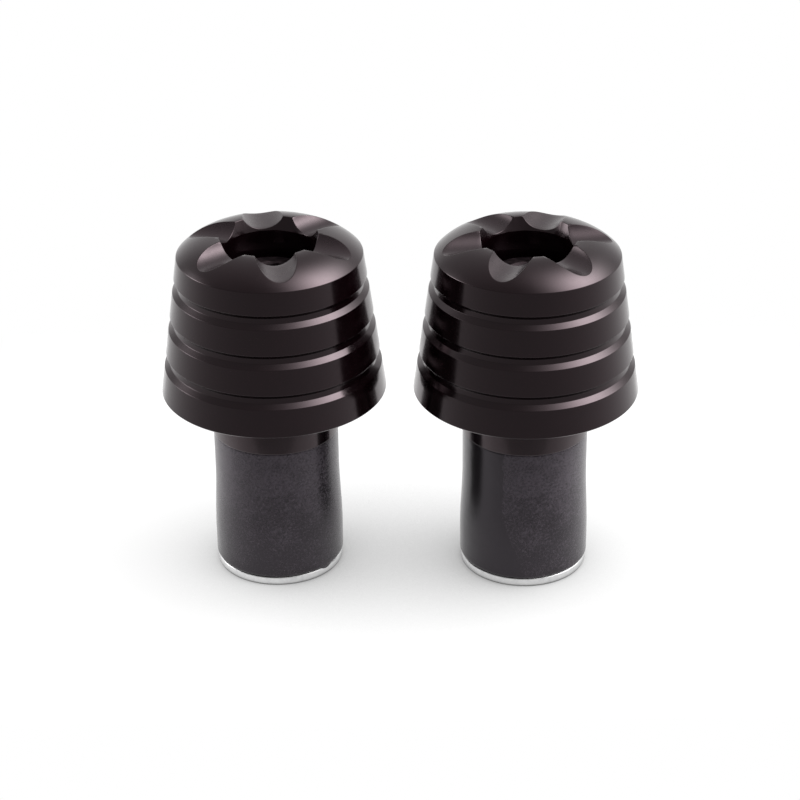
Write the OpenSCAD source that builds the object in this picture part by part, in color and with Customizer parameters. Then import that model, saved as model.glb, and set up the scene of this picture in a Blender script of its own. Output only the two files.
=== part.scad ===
// Pair of handlebar end weights, each held in the bar by an expanding rubber plug
// Both stand on their end nuts with the domed face up, on a surface at z = 0

/* [Pair] */
// Clear distance between the two weights at their widest
pair_gap = 3.6; // [2:0.2:30]
// How far the left weight stands behind the right one
pair_stagger = 1; // [0:0.5:10]
// Angle of the left weight's first scallop from the +X axis
left_scallop_angle = 40; // [0:1:59]
// Angle of the right weight's first scallop from the +X axis
right_scallop_angle = 9; // [0:1:59]

/* [Weight] */
// Diameter of the weight at its base
base_d = 30.2; // [27:0.1:36]
// Diameter at the shoulder, where the cone meets the dome
shoulder_d = 24.6; // [22:0.2:27]
// Height of the cone from base to shoulder
cone_h = 19.5; // [18:0.05:24]
// Rise of the domed end from the shoulder to the counterbore's rim
dome_rise = 2.5; // [1.8:0.1:4]
// Chamfer of the outer edge of the base
base_chamfer = 0.15; // [0.05:0.05:1]
// Number of turned grooves around the cone
groove_count = 3; // [1:1:3]
// Distance from the shoulder down to the first groove
groove_start = 3.05; // [2.5:0.05:4]
// Distance from one groove to the next
groove_pitch = 5.35; // [4:0.05:5.6]
// Depth of a groove below the cone's side
groove_depth = 0.6; // [0.3:0.05:1]
// Height of a groove's floor
groove_floor_h = 0.7; // [0.4:0.05:1]
// Height of the ramps that lead into a groove and out of it
groove_ramp_h = 0.6; // [0.3:0.05:0.8]
// Number of scallops around the counterbore
scallop_count = 6; // [4:1:6]
// Radius of the cutter that leaves a scallop
scallop_r = 3; // [2.5:0.1:3.2]
// Depth of a scallop's floor below the counterbore's rim
scallop_depth = 1.6; // [1:0.1:2]
// Depth of the taper at the mouth of the counterbore
mouth_depth = 1.85; // [1:0.05:2.5]
// How far the mouth stands out around the counterbore
mouth_flare = 0.6; // [0.2:0.05:0.8]

/* [Cap screw and washer] */
// Diameter of the screw's shank
screw_d = 6; // [5:0.5:6.5]
// Diameter of the screw's head
head_d = 10; // [9:0.5:11]
// Height of the screw's head
head_h = 6; // [5:0.5:7]
// Chamfer around the top of the head
head_chamfer = 0.5; // [0.2:0.1:0.8]
// Hexagon socket, across its flats
socket_af = 5; // [4:0.5:5.5]
// Depth of the hexagon socket
socket_depth = 3; // [2:0.25:3.5]
// Depth of the top of the head below the counterbore's rim
head_recess = 5; // [3:0.1:7]
// Height of the screw's end above the nut's foot
screw_end_h = 7.4; // [1:0.1:8.5]
// Chamfer at the screw's end
screw_end_chamfer = 0.8; // [0.3:0.1:1.2]
// How far the washer stands out around the head
washer_rim = 0.5; // [0.3:0.1:1]
// Thickness of the washer
washer_t = 1.6; // [1:0.1:2]
// Room between the washer's rim and the counterbore's wall
counterbore_clearance = 0.4; // [0.2:0.05:0.8]
// Room between the shank and the washer's hole
washer_clearance = 0.2; // [0.1:0.05:0.4]
// Room between the shank and the holes in the weight and the collar
shank_clearance = 0.3; // [0.15:0.05:0.6]

/* [Collar] */
// Inner diameter of the handlebar tube that the plug goes into
bar_bore_d = 18; // [17:0.1:20]
// Room between the collar and the tube's wall
collar_clearance = 0.4; // [0.2:0.05:0.8]
// Length of the collar below the weight
collar_len = 6.1; // [4:0.1:10]
// Chamfer of the collar's outer edges
collar_chamfer = 0.2; // [0.1:0.05:0.5]
// How deep the collar sits in the weight
collar_seat_depth = 2.5; // [1.5:0.1:3.5]
// Room around the collar in its recess
collar_fit = 0.05; // [0.02:0.01:0.1]

/* [Rubber sleeve] */
// Length of the sleeve
sleeve_len = 19.1; // [16:0.1:26]
// Room between the sleeve's straight part and the tube's wall
sleeve_clearance = 0.55; // [0.4:0.05:0.9]
// Room between the sleeve's flared end and the tube's wall
flare_clearance = 0.2; // [0.1:0.05:0.35]
// Height above the sleeve's lower end where the flare starts
flare_top_h = 14; // [9:0.5:16]
// Height above the sleeve's lower end where the flare is full
flare_full_h = 3.5; // [3:0.25:6]
// Rounding of the sleeve's lower edge
sleeve_edge_r = 0.5; // [0.2:0.1:1]
// Diameter of the sleeve's bore
sleeve_bore_d = 11; // [9.5:0.25:12]

/* [End nut] */
// Thickness of the nut's flange
flange_t = 1.2; // [0.6:0.1:2]
// Room between the flange and the tube's wall
flange_clearance = 0.4; // [0.2:0.05:0.8]
// Chamfer of the flange's edges
flange_chamfer = 0.12; // [0.05:0.01:0.25]
// Length of the nut's cone
nut_cone_len = 10; // [7:0.5:13]
// Wall of rubber around the foot of the cone
sleeve_lip = 2; // [1.5:0.1:2.5]
// Room between the cone's tip and the sleeve's bore
nut_tip_clearance = 0.2; // [0.1:0.05:0.4]
// Room between the cone's side and its seat in the sleeve
seat_clearance = 0.1; // [0.05:0.05:0.2]
// Room between the shank and the nut's hole
thread_clearance = 0.05; // [0.02:0.01:0.09]

/* [Hidden] */
$fn = 128;

// Colours of the finishes
black_anodised = "#2b2327";
black_oxide = "#1b1b1d";
bright_zinc = "#b9bcc0";
black_rubber = "#3b3c3f";
plain_aluminium = "#c8cacc";

// Heights of the faces where the pieces meet, from the foot up
sleeve_z = flange_t;
collar_z = sleeve_z + sleeve_len;
base_z = collar_z + collar_len;
shoulder_z = base_z + cone_h;
rim_z = shoulder_z + dome_rise;
head_z = rim_z - head_recess - head_h;
washer_z = head_z - washer_t;

// Radii of the weight
base_r = base_d / 2;
shoulder_r = shoulder_d / 2;
washer_r = head_d / 2 + washer_rim;
bore_r = washer_r + counterbore_clearance;
rim_r = bore_r + mouth_flare;
shank_hole_r = screw_d / 2 + shank_clearance;
scallop_step = 360 / scallop_count;

// The dome is an arc that leaves the rim level and falls to the shoulder
dome_run = shoulder_r - rim_r;
dome_r = (dome_run * dome_run + dome_rise * dome_rise) / (2 * dome_rise);

// Radii of the plug, each set by its room in the tube
collar_r = bar_bore_d / 2 - collar_clearance;
sleeve_r = bar_bore_d / 2 - sleeve_clearance;
flare_r = bar_bore_d / 2 - flare_clearance;
flange_r = bar_bore_d / 2 - flange_clearance;
nut_foot_r = flare_r - sleeve_lip;
nut_tip_r = sleeve_bore_d / 2 - nut_tip_clearance;
nut_hole_r = screw_d / 2 + thread_clearance;

// Cuts that break a surface run past it by this much
past = 1;

// Steps of the sleeve's flare and of its rounded edge
flare_steps = 14;
edge_steps = 6;

// Angles of the two hexagon sockets as the screws happen to stand
left_socket_angle = 12;
right_socket_angle = 25;

// Radius of the cone's side at a height
function cone_r(z) = base_r + (shoulder_r - base_r) * (z - base_z) / cone_h;

// Share of the flare reached at t from its top, 0, to its full width, 1
function flare_share(t) = (1 - cos(180 * t)) / 2;

// Outline of one groove, with a floor along the cone between a ramp into it and a ramp out of it
module groove_profile(top_z) {
    floor_top_z = top_z - groove_ramp_h;
    floor_z = floor_top_z - groove_floor_h;
    ramp_z = floor_z - groove_ramp_h;
    polygon([
        [cone_r(floor_top_z) - groove_depth, floor_top_z],
        [cone_r(top_z) + groove_depth, top_z + groove_ramp_h],
        [cone_r(ramp_z) + groove_depth, ramp_z - groove_ramp_h],
        [cone_r(floor_z) - groove_depth, floor_z]
    ]);
}

// Half section of the weight, before its holes and scallops
module weight_profile() {
    difference() {
        intersection() {
            polygon([
                [0, base_z],
                [base_r - base_chamfer, base_z],
                [cone_r(base_z + base_chamfer), base_z + base_chamfer],
                [shoulder_r, shoulder_z],
                [shoulder_r, rim_z + past],
                [0, rim_z + past]
            ]);
            union() {
                square([base_d, shoulder_z]);
                translate([rim_r, rim_z - dome_r]) circle(dome_r);
            }
        }
        for (i = [0 : groove_count - 1])
            groove_profile(shoulder_z - groove_start - i * groove_pitch);
    }
}

// Round-nosed cuts that run level from the counterbore out through the dome
module scallops() {
    for (i = [0 : scallop_count - 1])
        rotate([0, 0, (i + 0.5) * scallop_step])
            translate([0, 0, rim_z - scallop_depth + scallop_r])
                rotate([0, 90, 0])
                    rotate([0, 0, 180])
                        cylinder(r = scallop_r, h = shoulder_r);
}

// Turned cone with its grooves, scalloped dome, counterbore with a tapered mouth and recess for the collar
module weight(first_angle) {
    color(black_anodised)
        rotate([0, 0, first_angle - scallop_step / 2])
            difference() {
                rotate_extrude() weight_profile();
                translate([0, 0, washer_z]) cylinder(r = bore_r, h = rim_z - washer_z + past);
                translate([0, 0, rim_z - mouth_depth])
                    cylinder(r1 = bore_r, r2 = rim_r + mouth_flare * past / mouth_depth, h = mouth_depth + past);
                translate([0, 0, base_z]) cylinder(r = shank_hole_r, h = rim_z - base_z);
                translate([0, 0, base_z - past])
                    cylinder(r = collar_r + collar_fit, h = collar_seat_depth + past);
                scallops();
            }
}

// Socket head cap screw, with its hexagon and the drilled point below it
module cap_screw(socket_angle) {
    shank_r = screw_d / 2;
    head_top_z = head_z + head_h;
    socket_r = socket_af / 2 / cos(30);
    color(black_oxide)
        difference() {
            rotate_extrude()
                polygon([
                    [0, screw_end_h],
                    [shank_r - screw_end_chamfer, screw_end_h],
                    [shank_r, screw_end_h + screw_end_chamfer],
                    [shank_r, head_z],
                    [head_d / 2, head_z],
                    [head_d / 2, head_top_z - head_chamfer],
                    [head_d / 2 - head_chamfer, head_top_z],
                    [0, head_top_z]
                ]);
            translate([0, 0, head_top_z - socket_depth])
                rotate([0, 0, socket_angle])
                    cylinder(r = socket_r, h = socket_depth + past, $fn = 6);
            translate([0, 0, head_top_z - socket_depth - socket_af / 4])
                cylinder(r1 = 0, r2 = socket_af / 2, h = socket_af / 4);
        }
}

// Flat washer between the screw's head and the counterbore's floor
module washer() {
    color(bright_zinc)
        translate([0, 0, washer_z])
            difference() {
                cylinder(r = washer_r, h = washer_t);
                translate([0, 0, -past])
                    cylinder(r = screw_d / 2 + washer_clearance, h = washer_t + 2 * past);
            }
}

// Collar that spaces the sleeve from the weight and is centred in the weight's recess
module collar() {
    color(black_anodised)
        rotate_extrude()
            polygon([
                [shank_hole_r, collar_z],
                [collar_r - collar_chamfer, collar_z],
                [collar_r, collar_z + collar_chamfer],
                [collar_r, base_z + collar_seat_depth - collar_chamfer],
                [collar_r - collar_chamfer, base_z + collar_seat_depth],
                [shank_hole_r, base_z + collar_seat_depth]
            ]);
}

// Rubber sleeve, flared towards its lower end, with a bore and a conical seat for the nut
module rubber_sleeve() {
    flare_h = flare_top_h - flare_full_h;
    color(black_rubber)
        difference() {
            rotate_extrude()
                polygon(concat(
                    [[0, collar_z], [0, sleeve_z]],
                    [for (i = [0 : edge_steps])
                        let (a = 90 * i / edge_steps)
                        [flare_r - sleeve_edge_r * (1 - sin(a)), sleeve_z + sleeve_edge_r * (1 - cos(a))]],
                    [for (i = [0 : flare_steps])
                        let (t = 1 - i / flare_steps)
                        [sleeve_r + (flare_r - sleeve_r) * flare_share(t), sleeve_z + flare_top_h - flare_h * t]],
                    [[sleeve_r, collar_z]]
                ));
            translate([0, 0, sleeve_z - past]) cylinder(r = sleeve_bore_d / 2, h = sleeve_len + 2 * past);
            translate([0, 0, sleeve_z])
                cylinder(r1 = nut_foot_r + seat_clearance, r2 = nut_tip_r + seat_clearance, h = nut_cone_len);
        }
}

// End nut: a flange under the sleeve and a cone inside it, on the screw's thread
module end_nut() {
    color(plain_aluminium)
        rotate_extrude()
            polygon([
                [nut_hole_r, 0],
                [flange_r - flange_chamfer, 0],
                [flange_r, flange_chamfer],
                [flange_r, flange_t - flange_chamfer],
                [flange_r - flange_chamfer, flange_t],
                [nut_foot_r, flange_t],
                [nut_tip_r, flange_t + nut_cone_len],
                [nut_hole_r, flange_t + nut_cone_len]
            ]);
}

// Places of the two units
module at_left() {
    translate([-(base_d + pair_gap) / 2, pair_stagger / 2, 0]) children();
}

module at_right() {
    translate([(base_d + pair_gap) / 2, -pair_stagger / 2, 0]) children();
}

module left_weight() { at_left() weight(left_scallop_angle); }
module left_cap_screw() { at_left() cap_screw(left_socket_angle); }
module left_washer() { at_left() washer(); }
module left_collar() { at_left() collar(); }
module left_rubber_sleeve() { at_left() rubber_sleeve(); }
module left_end_nut() { at_left() end_nut(); }
module right_weight() { at_right() weight(right_scallop_angle); }
module right_cap_screw() { at_right() cap_screw(right_socket_angle); }
module right_washer() { at_right() washer(); }
module right_collar() { at_right() collar(); }
module right_rubber_sleeve() { at_right() rubber_sleeve(); }
module right_end_nut() { at_right() end_nut(); }

left_weight();
left_cap_screw();
left_washer();
left_collar();
left_rubber_sleeve();
left_end_nut();
right_weight();
right_cap_screw();
right_washer();
right_collar();
right_rubber_sleeve();
right_end_nut();
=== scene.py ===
"""Dresses a pair of handlebar end weights: turned meshes, finishes, studio light and camera."""

import logging
import math
from dataclasses import dataclass, field
from enum import Enum
from functools import reduce
from typing import Sequence

import bmesh
import bpy
from mathutils import Matrix, Vector, noise

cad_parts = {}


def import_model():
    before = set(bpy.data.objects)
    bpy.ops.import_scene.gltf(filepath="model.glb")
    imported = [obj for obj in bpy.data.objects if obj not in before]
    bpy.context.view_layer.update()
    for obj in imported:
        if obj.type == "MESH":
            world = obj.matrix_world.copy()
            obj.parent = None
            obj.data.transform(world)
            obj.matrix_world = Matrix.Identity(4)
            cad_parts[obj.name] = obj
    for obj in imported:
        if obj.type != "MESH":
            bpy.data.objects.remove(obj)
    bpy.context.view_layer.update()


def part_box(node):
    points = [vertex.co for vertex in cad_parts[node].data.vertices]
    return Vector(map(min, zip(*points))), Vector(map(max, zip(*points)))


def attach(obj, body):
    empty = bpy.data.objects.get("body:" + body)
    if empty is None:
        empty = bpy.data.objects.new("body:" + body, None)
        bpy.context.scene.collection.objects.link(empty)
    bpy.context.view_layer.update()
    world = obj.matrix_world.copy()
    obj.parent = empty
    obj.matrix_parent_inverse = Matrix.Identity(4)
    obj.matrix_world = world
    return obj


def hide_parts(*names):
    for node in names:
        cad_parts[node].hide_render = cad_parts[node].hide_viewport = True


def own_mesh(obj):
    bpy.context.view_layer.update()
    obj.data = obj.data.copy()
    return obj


LOG = logging.getLogger("bar_ends")
MM = 0.001
TURN = 2.0 * math.pi
# Vertex attributes that the finishes read
MILLED = "milled"
# The second holds painted shade: the dust on a sleeve is thinned on one side to darken it there.
PAINTED_SHADE = "painted_shade"

Point = tuple[float, float]
Span = tuple[float, float]
Colour = tuple[float, float, float]

FULL: Span = (0.0, 1.0)
WHITE: Colour = (1.0, 1.0, 1.0)
BLACK: Colour = (0.0, 0.0, 0.0)
# Turning lines: how much closer they lie on a level face, and the noise that lays them out
LINE_SLOPE = 1.7
LINE_DETAIL = 3.0
LINE_ROUGH = 0.6


class Side(Enum):
    """Which of the two bar ends a piece belongs to."""

    LEFT = "left"
    RIGHT = "right"


class Piece(Enum):
    """The pieces of one bar end, by the name that their CAD nodes end with."""

    WEIGHT = "weight"
    CAP_SCREW = "cap_screw"
    WASHER = "washer"
    COLLAR = "collar"
    RUBBER_SLEEVE = "rubber_sleeve"
    END_NUT = "end_nut"


class Body(Enum):
    """The bodies of one bar end, by the name that those of the frame end with."""

    BAR_END = "bar_end"
    SCREW = "screw"
    NUT = "nut"


class Slot(Enum):
    """Material slots of the record."""

    ANODISED = "anodised_black"
    OXIDE = "black_oxide"
    ZINC = "zinc"
    RUBBER = "rubber"
    ALUMINIUM = "bare_aluminium"


@dataclass(frozen=True)
class Corner:
    """One corner of a turned outline.

    Args:
        r: Distance from the axis.
        z: Height.
        fillet: Radius that rounds the corner, 0 for a sharp one.
    """

    r: float
    z: float
    fillet: float = 0.0

    def at(self) -> Vector:
        """Returns the corner as a vector (r, z)."""
        return Vector((self.r, self.z))


def rounded(corners: Sequence[Corner], steps: int = 4) -> list[Point]:
    """Rounds the inner corners of an open outline.

    Args:
        corners: Corners in order along the outline.
        steps: Segments of each rounding.

    Returns:
        Points (r, z) along the outline, with an arc at each rounded corner.
    """
    points: list[Point] = []
    last = len(corners) - 1
    for i, corner in enumerate(corners):
        if corner.fillet <= 0 or i in (0, last):
            points.append((corner.r, corner.z))
            continue
        here = corner.at()
        back = (corners[i - 1].at() - here).normalized()
        ahead = (corners[i + 1].at() - here).normalized()
        half = back.angle(ahead) / 2.0
        reach = corner.fillet / math.tan(half)
        centre = here + (back + ahead).normalized() * (corner.fillet / math.sin(half))
        start = here + back * reach - centre
        sweep = start.angle_signed(here + ahead * reach - centre)
        for k in range(steps + 1):
            angle = -sweep * k / steps
            cos, sin = math.cos(angle), math.sin(angle)
            turned = Vector((cos * start.x - sin * start.y, sin * start.x + cos * start.y))
            points.append(tuple(centre + turned))
    return points


def even_angles(count: int) -> list[float]:
    """Returns count angles spread evenly round the axis."""
    return [TURN * i / count for i in range(count)]


def held(share: float) -> float:
    """Returns a share held between 0 and 1."""
    return min(max(share, 0.0), 1.0)


def degrees_apart(angle: float, other: float) -> float:
    """Returns how far an angle in radians is from another in degrees, in degrees."""
    return abs((math.degrees(angle) - other + 180.0) % 360.0 - 180.0)


class TurnedMesh:
    """Builds a mesh from rings of vertices round the z axis."""

    def __init__(self, angles: Sequence[float]) -> None:
        """Starts an empty mesh.

        Args:
            angles: Angle of each vertex of a ring, in order round the axis.
        """
        self.angles = list(angles)
        self.bm = bmesh.new()

    def loop(self, points: Sequence[Point]) -> list[bmesh.types.BMVert]:
        """Adds a ring whose radius and height change round the axis.

        Args:
            points: One (r, z) for each angle.

        Returns:
            The new vertices in order.
        """
        made = []
        for angle, (radius, z) in zip(self.angles, points):
            made.append(self.bm.verts.new((radius * math.cos(angle), radius * math.sin(angle), z)))
        return made

    def bridge(self, low: Sequence[bmesh.types.BMVert], high: Sequence[bmesh.types.BMVert]) -> None:
        """Joins two rings with faces, dropping corners that fall together.

        Args:
            low: One ring.
            high: The next ring, of as many vertices.
        """
        count = len(low)
        for i in range(count):
            j = (i + 1) % count
            corners = list(dict.fromkeys((low[i], low[j], high[j], high[i])))
            if len(corners) > 2:
                self.bm.faces.new(corners)

    def cap(self, ring: Sequence[bmesh.types.BMVert], z: float) -> None:
        """Closes a ring with a fan to a point on the axis at height z."""
        middle = self.bm.verts.new((0.0, 0.0, z))
        count = len(ring)
        for i in range(count):
            self.bm.faces.new((ring[i], ring[(i + 1) % count], middle))

    def skin(self, rings: Sequence[Sequence[bmesh.types.BMVert]], closed: bool = False) -> None:
        """Joins each ring to the next with faces.

        Args:
            rings: Rings of as many vertices each, in order.
            closed: Whether the last ring joins the first.
        """
        for low, high in zip(rings, rings[1:]):
            self.bridge(low, high)
        if closed:
            self.bridge(rings[-1], rings[0])

    def lathe(self, outline: Sequence[Point], closed: bool = False) -> list[list[bmesh.types.BMVert]]:
        """Turns an outline round the axis.

        Args:
            outline: Points (r, z) in order.
            closed: Whether the last point joins the first.

        Returns:
            The rings, one for each point.
        """
        rings = [self.loop([point] * len(self.angles)) for point in outline]
        self.skin(rings, closed)
        return rings

    def finish(self, name: str) -> bpy.types.Object:
        """Turns the mesh into a smooth-shaded object at the origin.

        Args:
            name: Name of the object.

        Returns:
            The new object, linked to the scene.
        """
        bmesh.ops.recalc_face_normals(self.bm, faces=self.bm.faces[:])
        for face in self.bm.faces:
            face.smooth = True
        mesh = bpy.data.meshes.new(name)
        self.bm.to_mesh(mesh)
        self.bm.free()
        made = bpy.data.objects.new(name, mesh)
        bpy.context.scene.collection.objects.link(made)
        made.modifiers.new("flat_faces_keep_their_normals", "WEIGHTED_NORMAL")
        return made


def turned_ring(name: str, corners: Sequence[Corner], segments: int) -> bpy.types.Object:
    """Turns a closed outline round the axis.

    Args:
        name: Name of the object.
        corners: Corners from the lower outer edge, over the top, to the lower edge of the hole.
        segments: Vertices of each ring.

    Returns:
        The new object.
    """
    low = corners[0].z
    middle = Corner((corners[-1].r + corners[0].r) / 2.0, low)
    lathe = TurnedMesh(even_angles(segments))
    lathe.lathe(rounded([middle, *corners, middle])[:-1], closed=True)
    return lathe.finish(name)


@dataclass(frozen=True)
class Grain:
    """One noise of a finish.

    Args:
        scale: About how many cells there are to a metre.
        detail: Number of finer layers.
        rough: Strength of each finer layer next to the one before.
    """

    scale: float
    detail: float
    rough: float


class NodeSheet:
    """Small helper that lays out the shader nodes of one material or world."""

    def __init__(self, tree: bpy.types.NodeTree) -> None:
        """Clears the tree and keeps it."""
        self.tree = tree
        tree.nodes.clear()

    def add(self, kind: str, inputs: dict | None = None, **settings: object) -> bpy.types.Node:
        """Adds a node.

        Args:
            kind: Node type's identifier.
            inputs: Socket name or index to a value, or to an output socket to link.
            settings: Properties of the node.

        Returns:
            The new node.
        """
        made = self.tree.nodes.new(kind)
        for key, value in settings.items():
            setattr(made, key, value)
        for key, value in (inputs or {}).items():
            socket = made.inputs[key]
            if isinstance(value, bpy.types.NodeSocket):
                self.tree.links.new(value, socket)
            else:
                socket.default_value = value
        return made

    def place(self) -> bpy.types.NodeSocket:
        """Returns the place on the object."""
        return self.add("ShaderNodeTexCoord").outputs["Object"]

    def math(self, operation: str, a: object, b: object = 0.0) -> bpy.types.NodeSocket:
        """Returns the output of a math node on two values or sockets."""
        return self.add("ShaderNodeMath", {0: a, 1: b}, operation=operation).outputs[0]

    def total(self, first: object, *others: object) -> object:
        """Returns the sum of values or sockets."""
        return reduce(lambda a, b: self.math("ADD", a, b), others, first)

    def product(self, first: object, *others: object) -> object:
        """Returns the product of values or sockets."""
        return reduce(lambda a, b: self.math("MULTIPLY", a, b), others, first)

    def spread(self, value: object, span: Span, to: Span = FULL) -> bpy.types.NodeSocket:
        """Returns value carried smoothly from one span to another and held at its ends."""
        inputs = {"Value": value, 1: span[0], 2: span[1], 3: to[0], 4: to[1]}
        return self.add("ShaderNodeMapRange", inputs, interpolation_type="SMOOTHSTEP").outputs[0]

    def mix(self, share: object, a: object, b: object) -> bpy.types.NodeSocket:
        """Returns a colour mixed from a to b by share."""
        inputs = {0: share, 6: a, 7: b}
        return self.add("ShaderNodeMix", inputs, data_type="RGBA").outputs[2]

    def noise(self, vector: object, grain: Grain) -> bpy.types.NodeSocket:
        """Returns a noise value at a vector."""
        inputs = {"Vector": vector, "Scale": grain.scale, "Detail": grain.detail, "Roughness": grain.rough}
        return self.add("ShaderNodeTexNoise", inputs).outputs[0]

    def bump(self, height: object, relief: Span, under: object = None) -> bpy.types.NodeSocket:
        """Bends the normal by a height.

        Args:
            height: The height.
            relief: Strength of the bump and its depth.
            under: Normal that it is laid on, or None for that of the mesh.

        Returns:
            The bent normal.
        """
        inputs = {"Height": height, "Strength": relief[0], "Distance": relief[1]}
        if under is not None:
            inputs["Normal"] = under
        return self.add("ShaderNodeBump", inputs).outputs[0]

    def surface(self, inputs: dict) -> None:
        """Gives the material a principled surface with these inputs."""
        made = self.add("ShaderNodeBsdfPrincipled", inputs)
        self.add("ShaderNodeOutputMaterial", {0: made.outputs[0]})


def rgba(colour: Colour) -> tuple[float, float, float, float]:
    """Returns a colour with full alpha."""
    return (*colour, 1.0)


def shifted(middle: float, by: Span) -> Span:
    """Returns a span that reaches from a value by two amounts."""
    return middle + by[0], middle + by[1]


def new_sheet(name: str) -> tuple[bpy.types.Material, NodeSheet]:
    """Returns a new material and its empty node sheet."""
    material = bpy.data.materials.new(name)
    material.use_nodes = True
    return material, NodeSheet(material.node_tree)


def turning_lines(sheet: NodeSheet, per_mm: float) -> bpy.types.NodeSocket:
    """Makes the fine rings that a lathe tool leaves.

    Args:
        sheet: Sheet of the material.
        per_mm: About how many rings there are to a millimetre.

    Returns:
        A height that changes along the outline and not round the axis.
    """
    x, y, z = sheet.add("ShaderNodeSeparateXYZ", {0: sheet.place()}).outputs
    radius = sheet.math("SQRT", sheet.total(sheet.product(x, x), sheet.product(y, y)))
    reach = sheet.math("SUBTRACT", sheet.product(radius, LINE_SLOPE), z)
    inputs = {"W": reach, "Scale": per_mm / MM, "Detail": LINE_DETAIL, "Roughness": LINE_ROUGH}
    return sheet.add("ShaderNodeTexNoise", inputs, noise_dimensions="1D").outputs[0]


@dataclass(frozen=True)
class AnodisedFinish:
    """Black anodised aluminium: a warm black dye under a clear hard oxide skin.

    Args:
        name: Name of the material.
        dye: Colour of the dyed layer.
        worn: Colour that the dye drifts to in patches.
        drift: Noise that lays out the patches.
        drift_span: Values of it between which the dye changes.
        sheen: Tint of what the skin mirrors.
        roughness: Roughness of the skin.
        haze: Noise that dulls the skin.
        haze_span: Values of it between which the skin gets duller.
        haze_rough: Change of the roughness at both ends.
        ior: Refractive index of the skin.
        lines_per_mm: Turning lines to a millimetre.
        lines: Strength and depth of the turning lines.
        grit: Noise of the etched skin.
        grit_relief: Strength and depth of it.
        cutter_marks: How much rougher the skin is where a cutter has been.
        cutter_tone: Colour of the dye there, where it takes less.
    """

    name: str = "black_anodised_aluminium"
    dye: Colour = (0.0026, 0.0006, 0.0011)
    worn: Colour = (0.0036, 0.0009, 0.0016)
    drift: Grain = Grain(240.0, 5.0, 0.6)
    drift_span: Span = (0.35, 0.7)
    sheen: Colour = (1.0, 0.795, 0.855)
    roughness: float = 0.15
    haze: Grain = Grain(900.0, 6.0, 0.65)
    haze_span: Span = (0.3, 0.75)
    haze_rough: Span = (-0.03, 0.05)
    ior: float = 1.61
    lines_per_mm: float = 9.0
    lines: Span = (0.035, 0.004 * MM)
    grit: Grain = Grain(9000.0, 2.0, 0.5)
    grit_relief: Span = (0.05, 0.004 * MM)
    cutter_marks: float = 0.14
    cutter_tone: Colour = (0.018, 0.0128, 0.0147)

    def material(self) -> bpy.types.Material:
        """Returns the finish as a new material."""
        material, sheet = new_sheet(self.name)
        place = sheet.place()
        drift = sheet.spread(sheet.noise(place, self.drift), self.drift_span)
        dye = sheet.mix(drift, rgba(self.dye), rgba(self.worn))
        haze = sheet.noise(place, self.haze)
        rough = sheet.spread(haze, self.haze_span, shifted(self.roughness, self.haze_rough))
        milled = sheet.add("ShaderNodeAttribute", attribute_name=MILLED).outputs["Fac"]
        turned = sheet.bump(turning_lines(sheet, self.lines_per_mm), self.lines)
        sheet.surface(
            {
                "Base Color": sheet.mix(milled, dye, rgba(self.cutter_tone)),
                "Roughness": sheet.total(rough, sheet.product(milled, self.cutter_marks)),
                "IOR": self.ior,
                "Specular Tint": rgba(self.sheen),
                "Normal": sheet.bump(sheet.noise(place, self.grit), self.grit_relief, turned),
            }
        )
        return material


@dataclass(frozen=True)
class MetalFinish:
    """Bare, plated or oxidised metal with faint marks and, if it was turned, turning lines.

    Args:
        name: Name of the material.
        clean: Colour of the clean metal or of the full oxide.
        dull: Colour where it is handled and dull, or where the oxide is thin.
        roughness: Roughness of the clean metal.
        lines: Strength and depth of the turning lines, or None.
        metal: Share of the surface that mirrors as metal does.
        marks: Noise that lays out the marks.
        dull_span: Values of it between which the colour changes.
        rough_span: Values of it between which the roughness changes.
        rough_by: Change of the roughness at both ends.
        grit: Noise of the metal's surface.
        grit_relief: Strength and depth of it.
        lines_per_mm: Turning lines to a millimetre.
    """

    name: str
    clean: Colour
    dull: Colour
    roughness: float
    lines: Span | None
    metal: float = 1.0
    marks: Grain = Grain(700.0, 6.0, 0.65)
    dull_span: Span = (0.4, 0.8)
    rough_span: Span = (0.35, 0.75)
    rough_by: Span = (0.0, 0.14)
    grit: Grain = Grain(7000.0, 3.0, 0.5)
    grit_relief: Span = (0.05, 0.006 * MM)
    lines_per_mm: float = 11.0

    def material(self) -> bpy.types.Material:
        """Returns the finish as a new material."""
        material, sheet = new_sheet(self.name)
        place = sheet.place()
        marks = sheet.noise(place, self.marks)
        dulled = sheet.spread(marks, self.dull_span)
        turned = None
        if self.lines:
            turned = sheet.bump(turning_lines(sheet, self.lines_per_mm), self.lines)
        sheet.surface(
            {
                "Base Color": sheet.mix(dulled, rgba(self.clean), rgba(self.dull)),
                "Roughness": sheet.spread(marks, self.rough_span, shifted(self.roughness, self.rough_by)),
                "Metallic": self.metal,
                "Normal": sheet.bump(sheet.noise(place, self.grit), self.grit_relief, turned),
            }
        )
        return material


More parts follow.
